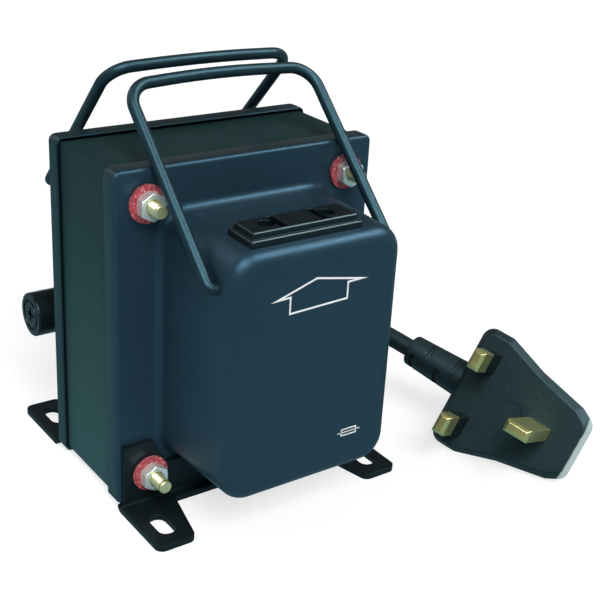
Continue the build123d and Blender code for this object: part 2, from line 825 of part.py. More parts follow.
with BuildPart() as plug_live_pins:
    with BuildSketch(plug_plane.offset(line_sleeve_length)):
        with Locations(*live_pins):
            Rectangle(line_pin_width, line_pin_thickness)
    extrude(amount=line_pin_length - line_sleeve_length)
    tips = plug_live_pins.faces().group_by(Axis(plug_plane.origin, plug_plane.z_dir))[-1]
    chamfer(tips.edges(), pin_chamfer)
    with BuildSketch(plug_plane.offset(-pin_root)):
        with Locations(*live_pins):
            Rectangle(line_pin_width - 2 * sleeve_wall, line_pin_thickness - 2 * sleeve_wall)
    extrude(amount=line_sleeve_length + pin_root)
save(plug_live_pins, "plug_live_pins")

with BuildPart() as plug_sleeves:
    with BuildSketch(plug_plane):
        with Locations(*live_pins):
            Rectangle(line_pin_width, line_pin_thickness)
            Rectangle(line_pin_width - 2 * sleeve_wall, line_pin_thickness - 2 * sleeve_wall,
                      mode=Mode.SUBTRACT)
    extrude(amount=line_sleeve_length)
save(plug_sleeves, "plug_pin_sleeves")

with BuildPart() as plug_earth_pin:
    with BuildSketch(plug_plane.offset(-pin_root)):
        with Locations(*earth_pin):
            Rectangle(earth_pin_thickness, earth_pin_width)
    extrude(amount=earth_pin_length + pin_root)
    tip = plug_earth_pin.faces().sort_by(Axis(plug_plane.origin, plug_plane.z_dir))[-1]
    chamfer(tip.edges(), pin_chamfer)
save(plug_earth_pin, "plug_earth_pin")

with BuildPart() as plug_screw:
    with BuildSketch(plug_plane.offset(-plug_screw_depth)):
        with Locations((0, plug_screw_y)):
            Circle(plug_screw_diameter / 2)
    extrude(amount=plug_screw_depth - plug_screw_sunk)
save(plug_screw, "plug_screw")

# Cord: a run from the gland, a put-away coil in two layers and a run to the plug's tail

cord_radius = cord_diameter / 2
coil_pitch = cord_diameter + coil_turn_gap
coil_layer = cord_diameter + coil_layer_gap
coil_half = coil_quarters * math.pi / 4


def coil_point(turned):
    """Middle of the cord where it has turned so far from the middle of the coil, in radians."""
    away = abs(turned)
    height = cord_radius + (coil_layer if turned > 0 else 0)
    if away < math.pi / 2:
        away = turned * turned / math.pi + math.pi / 4
        height = cord_radius + coil_layer * (1 + math.sin(turned)) / 2
    radius = coil_inner + coil_pitch * away / (2 * math.pi)
    angle = math.pi - turned - coil_half
    return Vector(coil_x + radius * math.cos(angle), coil_y + radius * math.sin(angle), height)


def coil_direction(turned):
    """Direction of the cord there."""
    step = coil_half / 10000
    inner = max(turned - step, -coil_half)
    outer = min(turned + step, coil_half)
    return (coil_point(outer) - coil_point(inner)).normalized()


def biarc_middle(start, start_way, end, end_way):
    """Point where two arcs meet that join two points with given directions."""
    chord = end - start
    both = start_way + end_way
    square = 2 * (1 - start_way.dot(end_way))
    along = chord.dot(both)
    reach = (math.sqrt(along * along + square * chord.dot(chord)) - along) / square
    return (start + start_way * reach + end - end_way * reach) / 2


coil_start = coil_point(-coil_half)
coil_start_way = coil_direction(-coil_half)
coil_end = coil_point(coil_half)
coil_end_way = coil_direction(coil_half)
coil_entry = coil_start - coil_start_way * cord_diameter
coil_exit = coil_end + coil_end_way * cord_diameter


def swept_cord(path):
    """Round cord along a path."""
    with BuildPart() as tube:
        with BuildSketch(Plane(origin=path @ 0, z_dir=path % 0)):
            Circle(cord_radius)
        sweep(path=path)
    return tube


with BuildLine() as coil_path:
    Line(coil_entry, coil_start)
    for quarter in range(coil_quarters):
        first = -coil_half + quarter * math.pi / 2
        last = first + math.pi / 2
        start_point = coil_point(first)
        end_point = coil_point(last)
        start_way = coil_direction(first)
        end_way = coil_direction(last)
        middle_point = biarc_middle(start_point, start_way, end_point, end_way)
        first_arc = TangentArc(start_point, middle_point, tangent=start_way)
        TangentArc(middle_point, end_point, tangent=first_arc % 1)
    Line(coil_end, coil_exit)
coil_wire = coil_path.wires()[0]
save(swept_cord(coil_wire), "cord_coil")

samples = [coil_wire @ (count / (coil_quarters * coil_samples))
           for count in range(coil_quarters * coil_samples + 1)]
spacing = coil_wire.length / (len(samples) - 1)
least_gap = min(
    (one - other).length - cord_diameter
    for place, one in enumerate(samples)
    for apart, other in enumerate(samples[place:])
    if apart * spacing > math.pi * coil_inner / 2
)
print("coil least gap", round(least_gap, 2), "length", round(coil_wire.length, 1))

gland_exit = gland_axis.from_local_coords((0, 0, gland_end))
tail_end = tail_plane(tail_length).origin
tail_way = tail_plane(tail_length).z_dir

gland_route = [
    gland_exit,
    gland_exit + gland_axis.z_dir * gland_run,
    Vector(88.6, 52.2, 26.2),
    Vector(98.2, 68.2, 19.0),
    coil_exit + coil_end_way * gland_coil_run,
    coil_exit,
]
tail_route = [
    coil_entry,
    coil_entry - coil_start_way * tail_coil_run,
    Vector(22.5, 77.0, 3.3),
    Vector(36.5, 65.0, 6.8),
    Vector(47.5, 51.5, 12.5),
    Vector(55.5, 34.0, 19.5),
    Vector(59.5, 15.5, 26.0),
    tail_end + tail_way * tail_run,
    tail_end,
]


bend_share = 0.45


def bend_radii(route):
    """Largest smooth bend at each inner point, from a share of the shorter run beside it."""
    radii = []
    for before, here, after in zip(route, route[1:], route[2:]):
        shorter = min((here - before).length, (after - here).length)
        turn = math.radians((here - before).get_angle(after - here))
        radii.append(bend_share * shorter / math.tan(turn / 2))
    return radii


for name, route in (("cord_from_gland", gland_route), ("cord_to_plug", tail_route)):
    radii = bend_radii(route)
    with BuildLine() as run_path:
        FilletPolyline(*route, radius=radii)
    run_wire = run_path.wires()[0]
    run = swept_cord(run_wire)
    save(run, name)
    plain_volume = math.pi * cord_radius ** 2 * run_wire.length
    print(name, "length", round(run_wire.length, 1), "radii", [round(value, 1) for value in radii],
          "volume share", round(run.part.volume / plain_volume, 4))
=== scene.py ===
"""Step-down transformer with two carry rods, an outlet, a fuse holder and a corded plug.

Lengths are in metres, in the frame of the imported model: X right, Y to the rear, Z up from the floor.
"""

import math

import bmesh
import bpy
from bpy.props import FloatProperty, FloatVectorProperty, IntProperty, PointerProperty
from mathutils import Matrix, Vector


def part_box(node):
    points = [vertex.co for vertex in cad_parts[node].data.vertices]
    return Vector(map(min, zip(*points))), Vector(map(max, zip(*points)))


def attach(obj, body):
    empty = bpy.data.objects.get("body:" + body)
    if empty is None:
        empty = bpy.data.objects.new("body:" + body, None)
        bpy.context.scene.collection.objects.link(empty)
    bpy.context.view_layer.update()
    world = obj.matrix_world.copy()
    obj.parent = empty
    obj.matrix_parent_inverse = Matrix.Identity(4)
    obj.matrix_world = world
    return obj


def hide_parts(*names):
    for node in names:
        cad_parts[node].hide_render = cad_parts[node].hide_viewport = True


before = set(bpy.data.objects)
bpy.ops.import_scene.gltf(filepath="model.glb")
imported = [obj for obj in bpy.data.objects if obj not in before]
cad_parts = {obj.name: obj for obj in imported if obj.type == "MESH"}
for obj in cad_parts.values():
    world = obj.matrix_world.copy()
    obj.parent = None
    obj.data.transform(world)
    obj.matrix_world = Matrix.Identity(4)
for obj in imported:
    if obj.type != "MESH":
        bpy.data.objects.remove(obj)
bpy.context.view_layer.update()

bl_info = {
    "name": "Step-down transformer",
    "version": (1, 0, 0),
    "blender": (4, 5, 0),
    "location": "View3D > Sidebar > Transformer",
    "description": "Dresses a carry-handled transformer with its covers, rods, fastenings, cord and plug",
    "category": "Object",
}

MM = 0.001
CASE = "case"
PI = math.pi
TOUCH = 1e-6
STACK_FACE = 19.1 * MM
COVER_FACE = 19.9 * MM
gland_end = Vector((51.55, 43.0, 30.0)) * MM


def length(name, description, millimetres):
    """A length that can be edited, given in millimetres."""
    return FloatProperty(name=name, description=description, default=millimetres * MM, unit="LENGTH")


def rotation(name, description, degrees):
    """An angle that can be edited, given in degrees."""
    return FloatProperty(name=name, description=description, default=math.radians(degrees), unit="ROTATION")


def colour(name, description, value):
    """A colour that can be edited."""
    return FloatVectorProperty(
        name=name, description=description, default=value, size=3, min=0, max=1, subtype="COLOR"
    )


class CoverSettings(bpy.types.PropertyGroup):
    sheet: length("Sheet", "Thickness of the pressed sheet", 0.8)
    fold: length("Fold", "Radius of the fold round the flange", 1.2)
    corner: length("Corner", "Radius of the flange's corners", 2.0)
    bell_half_width: length("Bell half width", "Half width of the bell at its flange", 27.7)
    bell_half_height: length("Bell half height", "Half height of the bell at its flange", 36.5)
    bell_corner: length("Bell corner", "Radius of the bell's long corners", 8.0)
    bell_edge: length("Bell edge", "Radius round the bell's end face", 4.0)
    root: length("Root", "Radius where the bell rises from its flange", 2.4)
    draft: rotation("Draft", "Taper of the bell", 1.2)
    middle_z: length("Middle height", "Height of the core's middle", 50.7)


class RodSettings(bpy.types.PropertyGroup):
    diameter: length("Diameter", "Rod diameter", 3.3)
    half_width: length("Half width", "Half the distance between the legs", 29.4)
    pivot_y: length("Pivot distance", "Pivot's distance from the middle", 47.2)
    pivot_z: length("Pivot height", "Height of the pivot", 76.1)
    reach: length("Reach", "Length of a leg", 59.9)
    bow: length("Bow", "Rise of the bar's middle", 1.2)
    corner: length("Corner", "Bend radius beside the bar", 7.3)
    foot_corner: length("Foot corner", "Bend radius at the pivot", 2.2)
    turned_in: length("Turned in", "Length of the ends that go in through the wall", 7.4)
    front_lean: rotation("Front lean", "Lean of the front rod", 46.39)
    rear_lean: rotation("Rear lean", "Lean of the rear rod", 43.39)


class FastenerSettings(bpy.types.PropertyGroup):
    stud_diameter: length("Stud", "Stud diameter", 4.0)
    pitch: length("Pitch", "Thread pitch", 0.7)
    stud_x: length("Stud x", "Half the distance between studs", 32.0)
    stud_z: length("Stud z", "Half the height between studs", 40.0)
    nut_flats: length("Nut", "Width across the nut's flats", 7.0)
    nut_height: length("Nut height", "Height of a nut", 3.2)
    washer_diameter: length("Washer", "Washer diameter", 10.6)
    washer_thickness: length("Washer thickness", "Washer thickness", 1.2)
    plate: length("Plate", "Thickness of the foot bracket behind the lower nuts", 1.8)
    upper_reach: length("Upper reach", "How far an upper stud stands out", 8.2)
    lower_reach: length("Lower reach", "How far a lower stud stands out", 11.4)


class FootSettings(bpy.types.PropertyGroup):
    edge: length("Edge", "Rounding of the bracket's edges", 0.3)
    plate: length("Plate", "Height above which the bracket stands upright", 2.0)
    slot_x: length("Slot x", "Half the distance between the slots", 35.7)
    slot_y: length("Slot y", "Slots' distance from the middle", 35.4)
    slot_reach: length("Slot reach", "Distance from a slot's middle within which its edge lies", 4.8)
    slot_growth: FloatProperty(name="Slot growth", description="Width of a slot as cut, over its solid's",
                               default=1.14)
    inset: length("Inset", "How far the uprights' ends stand in from the lobes' sides", 1.5)
    band: length("Band", "Width at each end over which the inset is taken up", 3.0)
    shorten: FloatProperty(name="Shorten", description="Share taken off the front lobes' reach", default=0.05)


class GlandSettings(bpy.types.PropertyGroup):
    y: length("Gland y", "Gland's distance behind the middle", 43.0)
    z: length("Gland z", "Gland's height", 30.0)
    flange: length("Flange", "Diameter of the flange", 13.0)
    boot: length("Boot", "Diameter of the boot at its root", 10.4)
    tip: length("Tip", "Diameter of the boot at its tip", 7.9)
    boot_length: length("Boot length", "Length of the tapered boot", 22.0)
    ribs: IntProperty(name="Ribs", description="Grooves along the boot", default=5)


class CordSettings(bpy.types.PropertyGroup):
    diameter: length("Cord", "Cord diameter", 6.0)
    coil_x: length("Coil x", "Middle of the coil", 57.0)
    coil_y: length("Coil y", "Middle of the coil", 115.0)
    coil_inner: length("Coil inner", "Radius at the coil's inside", 29.0)
    turn_gap: length("Turn gap", "Gap between turns", 1.0)
    layer_gap: length("Layer gap", "Gap between layers", 0.6)
    quarters: IntProperty(name="Quarters", description="Quarter turns in the coil", default=14)


class PlugSettings(bpy.types.PropertyGroup):
    base_end: length("Base end", "From the live pins to the cord end", 7.8)
    tail_length: length("Tail length", "Length of the tail", 20.5)
    tail_depth: length("Tail depth", "Depth of the tail's axis", 7.6)
    body_edge: length("Body edge", "Rounding of the body's edges", 0.9)
    tail_edge: length("Tail edge", "Rounding of the tail's notches", 0.2)
    pin_edge: length("Pin edge", "Rounding of the pins' edges", 0.25)
    # Where the plug's pale painted highlight begins; it is no scuff.
    end_highlight_start: length("Scuff start", "Where the pale scuffed end begins, from the live pins", 34.9)


class MarkSettings(bpy.types.PropertyGroup):
    line: length("Line", "Width of a printed line", 0.55)
    film: length("Film", "Thickness of the print", 0.04)
    arrow_z: length("Arrow height", "Height of the arrow's shoulders", 72.9)
    askew: rotation("Askew", "Slant of the printed arrow", 2.1)
    roof_half: length("Roof half width", "Half width of the arrow's head", 15.6)
    roof_rise: length("Roof rise", "Rise of the arrow's head", 4.0)
    roof_tip: length("Roof tip", "Sideways place of the arrow's point", -1.5)
    stem_half: length("Stem half width", "Half width of the arrow's stem", 9.8)
    stem_drop: length("Stem drop", "Length of the arrow's stem", 4.6)
    fuse_x: length("Fuse sign x", "Middle of the fuse sign", 12.8)
    fuse_z: length("Fuse sign z", "Height of the fuse sign", 27.5)
    fuse_half: length("Fuse sign half length", "Half length of the sign's box", 2.7)
    fuse_rise: length("Fuse sign half height", "Half height of the sign's box", 1.15)
    lead: length("Fuse sign lead", "Half length of the sign's line", 3.9)


class FinishSettings(bpy.types.PropertyGroup):
    coat: colour("Coat", "Powder coat on the covers", (0.0125, 0.0318, 0.0472))
    core: colour("Core", "Painted laminations", (0.0140, 0.0370, 0.0400))
    rod: colour("Rod", "Dipped coat on the rods", (0.0070, 0.0160, 0.0220))
    black: colour("Black", "Black mouldings and paint", (0.0045, 0.0080, 0.0095))
    rubber: colour("Rubber", "Cord and plug", (0.0055, 0.0105, 0.0118))
    brass: colour("Brass", "Pins of the plug", (0.64, 0.61, 0.26))
    zinc: colour("Zinc", "Nuts", (0.84, 0.90, 0.87))
    stud: colour("Stud", "Yellow plated studs", (0.74, 0.73, 0.42))
    fibre: colour("Fibre", "Red washers", (0.36, 0.040, 0.055))


class StageSettings(bpy.types.PropertyGroup):
    lens: FloatProperty(name="Lens", description="Focal length in millimetres", default=70.0, unit="CAMERA")
    roll: rotation("Roll", "Turn of the camera about its view", 3.34)
    floor: length("Floor", "Half size of the floor", 2500)


class TransformerSettings(bpy.types.PropertyGroup):
    """All sizes and colours of the object."""

    cover: PointerProperty(type=CoverSettings)
    rod: PointerProperty(type=RodSettings)
    fastener: PointerProperty(type=FastenerSettings)
    foot: PointerProperty(type=FootSettings)
    gland: PointerProperty(type=GlandSettings)
    cord: PointerProperty(type=CordSettings)
    plug: PointerProperty(type=PlugSettings)
    mark: PointerProperty(type=MarkSettings)
    finish: PointerProperty(type=FinishSettings)
    stage: PointerProperty(type=StageSettings)


def settings():
    """The scene's settings."""
    return bpy.context.scene.transformer


# Shader maths


class Wire:
    """A socket whose operators add Math nodes."""

    def __init__(self, shader, socket):
        self.shader = shader
        self.socket = socket

    def maths(self, operation, *values):
        return self.shader.node("ShaderNodeMath", {"operation": operation}, dict(enumerate(values)))

    def __add__(self, other):
        return self.maths("ADD", self, other)

    def __mul__(self, other):
        return self.maths("MULTIPLY", self, other)

    def __lt__(self, other):
        return self.maths("LESS_THAN", self, other)

    __radd__ = __add__
    __rmul__ = __mul__


class Graph:
    """The nodes of a material or a world, made through one method."""

    def __init__(self, tree):
        self.tree = tree

    def node(self, kind, options=None, inputs=None, output=0):
        made = self.tree.nodes.new(kind)
        for name, value in (options or {}).items():
            if name == "stops":
                ramp = made.color_ramp
                while len(ramp.elements) < len(value):
                    ramp.elements.new(1.0)
                for element, (place, shade) in zip(ramp.elements, value):
                    element.position = place
                    element.color = (*shade, 1) if hasattr(shade, "__len__") else (shade, shade, shade, 1)
            else:
                setattr(made, name, value)
        for name, value in (inputs or {}).items():
            self.feed(made.inputs[name], value)
        return Wire(self, made.outputs[output])

    def feed(self, socket, value):
        if isinstance(value, Wire):
            self.tree.links.new(value.socket, socket)
        else:
            socket.default_value = value

    def rays(self):
        """Masks of the rays that see a thing straight or through glass, and of those that reflect it."""
        camera = self.node("ShaderNodeLightPath", output="Is Camera Ray")
        through = self.node("ShaderNodeLightPath", output="Is Transmission Ray")
        glossy = self.node("ShaderNodeLightPath", output="Is Glossy Ray")
        return camera.maths("MAXIMUM", camera, through), glossy


class Shader(Graph):
    """One material with its main shader."""

    def __init__(self, name, **constants):
        self.name = name
        self.material = bpy.data.materials.new(name)
        self.material.use_nodes = True
        super().__init__(self.material.node_tree)
        self.surface = next(n for n in self.tree.nodes if n.type == "BSDF_PRINCIPLED")
        for socket, value in constants.items():
            self.surface.inputs[socket.replace("_", " ").title().replace("Ior", "IOR")].default_value = value

    def coordinates(self):
        """Object coordinates."""
        return self.node("ShaderNodeTexCoord", output=3)

    def place(self, scale=(1, 1, 1)):
        """Object coordinates, stretched."""
        return self.node("ShaderNodeMapping", {}, {"Vector": self.coordinates(), "Scale": scale})

    def along(self, axis):
        """One of the object coordinates."""
        return self.node("ShaderNodeSeparateXYZ", {}, {0: self.coordinates()}, "XYZ".index(axis))

    def beyond(self, place, direction):
        """How far the surface lies past a place, along a direction."""
        return sum((self.along(axis) * direction[number] for number, axis in enumerate("XYZ")),
                   -place.dot(direction))

    def noise(self, scale, detail=3.0, roughness=0.55, where=None):
        return self.node("ShaderNodeTexNoise", {}, {"Vector": where or self.coordinates(), "Scale": scale,
                                                    "Detail": detail, "Roughness": roughness})

    def ramp(self, factor, *stops):
        return self.node("ShaderNodeValToRGB", {"stops": stops}, {"Fac": factor})

    def mix(self, factor, one, other):
        return self.node("ShaderNodeMix", {"data_type": "RGBA"},
                         {0: factor, 6: one if isinstance(one, Wire) else (*one, 1),
                          7: other if isinstance(other, Wire) else (*other, 1)}, 2)

    def spread(self, factor, low, high):
        """Factor from 0 to 1 spread between two numbers."""
        return factor * (high - low) + low

    def bump(self, height, strength, distance, normal=None):
        inputs = {"Height": height, "Strength": strength, "Distance": distance}
        if normal:
            inputs["Normal"] = normal
        return self.node("ShaderNodeBump", {}, inputs)

    def soft_edges(self, radius):
        """Normal that rounds sharp edges over a small radius."""
        return self.node("ShaderNodeBevel", {"samples": 6}, {"Radius": radius})

    def finish(self, **links):
        """Feed the main shader and keep the material under its name."""
        for socket, value in links.items():
            self.feed(self.surface.inputs[socket.replace("_", " ").title()], value)
        MATERIALS[self.name] = self.material


def shades(base, dark, light):
    """A colour made darker and lighter."""
    return tuple(c * dark for c in base), tuple(min(1.0, c * light) for c in base)


def powder_coat():
    """Satin coat with a fine orange peel, painted darker and greener round the skirt as painted shade."""
    shader = Shader("powder_coat", specular_ior_level=0.5, specular_tint=(0.30, 0.68, 1.0, 1))
    dark, light = shades(settings().finish.coat, 0.84, 1.16)
    painted_skirt_dark, painted_skirt_light = shades(settings().finish.core, 0.45, 0.70)
    cloud = shader.noise(28, 4)
    peel = shader.noise(2300, 2, 0.6)
    slow = shader.noise(700, 2)
    back = shader.along("Y")
    back = back.maths("ABSOLUTE", back)
    # Round the skirt the coat takes darker, greener tones: painted shade, not a thinner or worn coat.
    skirt = back < 19.0 * MM
    shader.finish(
        base_color=shader.mix(skirt, shader.mix(cloud, dark, light), shader.mix(cloud, painted_skirt_dark, painted_skirt_light)),
        roughness=shader.spread(shader.noise(90, 3), 0.38, 0.48),
        normal=shader.bump(peel + slow, 0.38, 0.00015),
    )


def laminated_paint():
    """Dark varnish over stacked sheets, whose edges show as fine lines across the stack, with painted light
    from the floor making it lighter towards the bottom.
    """
    shader = Shader("laminated_paint", specular_ior_level=0.06)
    dark, light = shades(settings().finish.core, 0.8, 1.3)
    sheets = shader.node("ShaderNodeTexWave", {"bands_direction": "Y", "wave_profile": "SIN"},
                         {"Vector": shader.place(), "Scale": 320.0, "Distortion": 0.4, "Detail": 2.0,
                          "Detail Scale": 2.0}, 1)
    uneven = shader.noise(60, 4, where=shader.place((1, 14, 1)))
    # A lighter tone is mixed in towards the bottom: painted light thrown up from the floor, not dust.
    painted_floor_glow = shades(settings().finish.core, 1.0, 2.1)[1]
    low = shader.ramp(shader.along("Z") * 10.0, (0.05, 1.0), (0.85, 0.0))
    shader.finish(
        base_color=shader.mix(low * 0.8, shader.mix(uneven, dark, light), painted_floor_glow),
        roughness=shader.spread(uneven, 0.42, 0.62),
        normal=shader.bump(sheets * 0.5 + uneven, 0.12, 0.0001),
    )


def clouded(name, base, tones, cloud, rough, grain, bump, edge=0.0, **constants):
    """A finish with faint clouding and a fine grain, whose edges can look rounded."""
    shader = Shader(name, **constants)
    dark, light = shades(base, *tones)
    clouding = shader.noise(*cloud)
    shader.finish(
        base_color=shader.mix(clouding, dark, light),
        roughness=shader.spread(clouding, *rough),
        normal=shader.bump(shader.noise(*grain), *bump, shader.soft_edges(edge) if edge else None),
    )


def black_paint():
    """Satin paint on the feet, with edges rounded by the coat."""
    clouded("black_paint", settings().finish.black, tones=(0.8, 1.6), cloud=(120, 3), rough=(0.38, 0.55),
            grain=(2200, 2), bump=(0.08, 0.0001), edge=0.0004, specular_ior_level=0.25,
            specular_tint=(0.55, 0.85, 1.0, 1))


def rod_coat():
    """Dark dipped coat on the rods."""
    clouded("rod_coat", settings().finish.rod, tones=(0.7, 1.35), cloud=(150, 3), rough=(0.38, 0.50),
            grain=(1700, 3), bump=(0.55, 0.00015), specular_ior_level=0.5, specular_tint=(0.35, 0.80, 1.0, 1))


def moulded_black():
    """Glossy phenolic moulding."""
    clouded("moulded_black", settings().finish.black, tones=(0.8, 1.7), cloud=(200, 3), rough=(0.24, 0.38),
            grain=(1500, 2), bump=(0.05, 0.0001), edge=0.0003, specular_ior_level=0.28,
            specular_tint=(0.6, 0.9, 1.0, 1))


def past_plug(shader, y, direction):
    """How many millimetres the surface lies past a place on the plug."""
    plug = plug_frame()
    return shader.beyond(plug @ Vector((0, y, 0)), plug.to_3x3() @ Vector(direction)) * 1000.0


def grained_rubber(name, strength, dust=0.0):
    """Moulded rubber or PVC with a fine grain, dust that lies in patches, and a pale painted highlight at the
    plug's end.
    """
    shader = Shader(name, specular_ior_level=0.42, specular_tint=(0.5, 0.88, 1.0, 1))
    dark, light = shades(settings().finish.rubber, 0.75, 1.45)
    cloud = shader.noise(90, 4)
    grain = shader.noise(1800, 3, 0.7)
    shade = shader.mix(cloud, dark, light)
    if dust:
        patches = shader.ramp(shader.noise(70, 5, 0.7), (0.40, 0.0), (0.66, 1.0))
        specks = shader.ramp(shader.noise(1300, 3, 0.7), (0.42, 0.0), (0.64, 1.0))
        face = past_plug(shader, -settings().plug.base_end, (0, 1, 0))
        dust = shader.ramp(face, (0.0, 0.0), (0.6, dust))
        shade = shader.mix((patches * 0.7 + 0.3) * specks * dust, shade, (0.10, 0.17, 0.175))
        # The pale band at the plug's end is a painted highlight, not a scuff.
        end = past_plug(shader, settings().plug.end_highlight_start, (0, 1, -0.42))
        painted_end_highlight = shader.ramp(end + shader.noise(300, 3) * 0.7, (0.35, 0.0), (0.95, 1.0))
        shade = shader.mix(painted_end_highlight * 0.9, shade, (0.50, 0.60, 0.60))
    shader.finish(
        base_color=shade,
        roughness=shader.spread(cloud, 0.44, 0.62),
        normal=shader.bump(grain, strength, 0.0002),
    )


def plated(name, base, rough, metallic):
    """Plated metal with faint dull patches."""
    clouded(name, base, tones=(0.86, 1.10), cloud=(260, 3, 0.6), rough=(rough, rough + 0.14), grain=(900, 2),
            bump=(0.10, 0.00004), edge=0.0002, metallic=metallic)


def red_fibre():
    """Pressed red fibre flecked with paler strands."""
    shader = Shader("red_fibre", specular_ior_level=0.3)
    dark, light = shades(settings().finish.fibre, 0.65, 1.2)
    pale = (0.62, 0.26, 0.28)
    mottle = shader.noise(900, 5, 0.7)
    fleck = shader.ramp(shader.noise(1500, 2, 0.5), (0.50, 0.0), (0.62, 1.0))
    shader.finish(
        base_color=shader.mix(fleck * 0.75, shader.mix(mottle, dark, light), pale),
        roughness=shader.spread(mottle, 0.5, 0.8),
        normal=shader.bump(mottle, 0.35, 0.0002),
    )


def wound(name, base, across):
    """Enamelled wire or tape wound round the former, with its turns as fine ridges and painted shade in the
    grooves between them.
    """
    shader = Shader(name, specular_ior_level=0.5)
    dark, light = shades(base, 0.6, 1.2)
    turns = shader.node("ShaderNodeTexWave", {"bands_direction": "X", "wave_profile": "SIN"},
                        {"Vector": shader.place(), "Scale": across, "Distortion": 0.6}, 1)
    # The colour darkens with the same wave in the grooves between turns: painted shade.
    shader.finish(
        base_color=shader.mix(turns, dark, light),
        roughness=0.4,
        normal=shader.bump(turns, 0.6, 0.0003),
    )


def plain_moulding(name, base, rough):
    """Pale or tinted moulding with faint clouding."""
    clouded(name, base, tones=(0.88, 1.08), cloud=(150, 3), rough=(rough, rough + 0.15), grain=(1400, 2),
            bump=(0.06, 0.0001), edge=0.0003, specular_ior_level=0.45)


def clear_glass():
    """Thin clear glass of the fuse link."""
    shader = Shader("clear_glass", transmission_weight=1.0, ior=1.45)
    haze = shader.noise(300, 3)
    shader.finish(base_color=(0.93, 0.96, 0.96, 1), roughness=shader.spread(haze, 0.02, 0.08))


MATERIALS = {}


def paint(key, *nodes):
    """Give CAD nodes a material."""
    for node in nodes:
        mesh = bpy.data.objects[node].data
        mesh.materials.clear()
        mesh.materials.append(MATERIALS[key])


# Mesh helpers


def placed(name, data):
    """A new object in the scene."""
    thing = bpy.data.objects.new(name, data)
    bpy.context.scene.collection.objects.link(thing)
    return thing


def weigh_normals(piece):
    """Keep broad faces flat beside rounded edges."""
    piece.modifiers.new("flat_faces", "WEIGHTED_NORMAL").keep_sharp = True


def finished(name, bm, body, key, nodes=(), angle=35, weighted=True):
    """Turn a bmesh into a piece that rides on a body and stands for its CAD nodes."""
    bmesh.ops.remove_doubles(bm, verts=bm.verts, dist=1e-7)
    bmesh.ops.recalc_face_normals(bm, faces=bm.faces)
    mesh = bpy.data.meshes.new(name)
    bm.to_mesh(mesh)
    bm.free()
    mesh.shade_smooth()
    mesh.set_sharp_from_angle(angle=math.radians(angle))
    piece = placed(name, mesh)
    mesh.materials.append(MATERIALS[key])
    if weighted:
        weigh_normals(piece)
    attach(piece, body)
    if nodes:
        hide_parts(*nodes)
    return piece


def block(bm, low, high):
    """A box between two corners."""
    made = bmesh.ops.create_cube(bm, size=1)["verts"]
    low, high = Vector(low), Vector(high)
    bmesh.ops.scale(bm, verts=made, vec=high - low)
    bmesh.ops.translate(bm, verts=made, vec=(high + low) / 2)


def round_edges(bm, edges, radius, segments=4):
    """Round the given edges."""
    return bmesh.ops.bevel(bm, geom=list(edges), offset=radius, offset_type="OFFSET", segments=segments,
                           profile=0.5, affect="EDGES", clamp_overlap=True, material=-1)


def settle(bm, frame_matrix):
    """Move the vertices made since the last call to where a matrix puts them."""
    fresh = [v for v in bm.verts if not v.tag]
    bmesh.ops.transform(bm, matrix=frame_matrix, verts=fresh)
    for vert in fresh:
        vert.tag = True


def lathe(bm, profile, frame_matrix, steps=48):
    """Spin a profile of (radius, height) points round the local Z axis of a matrix."""
    verts = [bm.verts.new((radius, 0, height)) for radius, height in profile]
    edges = [bm.edges.new(pair) for pair in zip(verts, verts[1:])]
    bmesh.ops.spin(bm, geom=verts + edges, cent=(0, 0, 0), axis=(0, 0, 1), angle=2 * PI,
                   steps=steps, use_merge=True, use_duplicate=False)
    bmesh.ops.remove_doubles(bm, verts=[v for v in bm.verts if not v.tag], dist=1e-7)
    settle(bm, frame_matrix)


def axis_frame(origin, direction, across=(1, 0, 0)):
    """Matrix whose Z axis points along a direction."""
    z = Vector(direction).normalized()
    x = Vector(across)
    x = (x - z * x.dot(z)).normalized()
    y = z.cross(x)
    turn = Matrix((x, y, z)).transposed().to_4x4()
    return Matrix.Translation(Vector(origin)) @ turn


def aimed(place, direction):
    """Matrix that puts a camera or a lamp at a place and points it along a direction."""
    return Matrix.Translation(place) @ Vector(direction).to_track_quat("-Z", "Y").to_matrix().to_4x4()


def printed_outline(bm, points, line):
    """A flat shape on the front plane, or only a line along its inside."""
    face = bm.faces.new([bm.verts.new((x, 0, z)) for x, z in points])
    if line:
        face.normal_update()
        bmesh.ops.inset_region(bm, faces=[face], thickness=line, use_boundary=True, use_even_offset=True)
        bmesh.ops.delete(bm, geom=[face], context="FACES_ONLY")


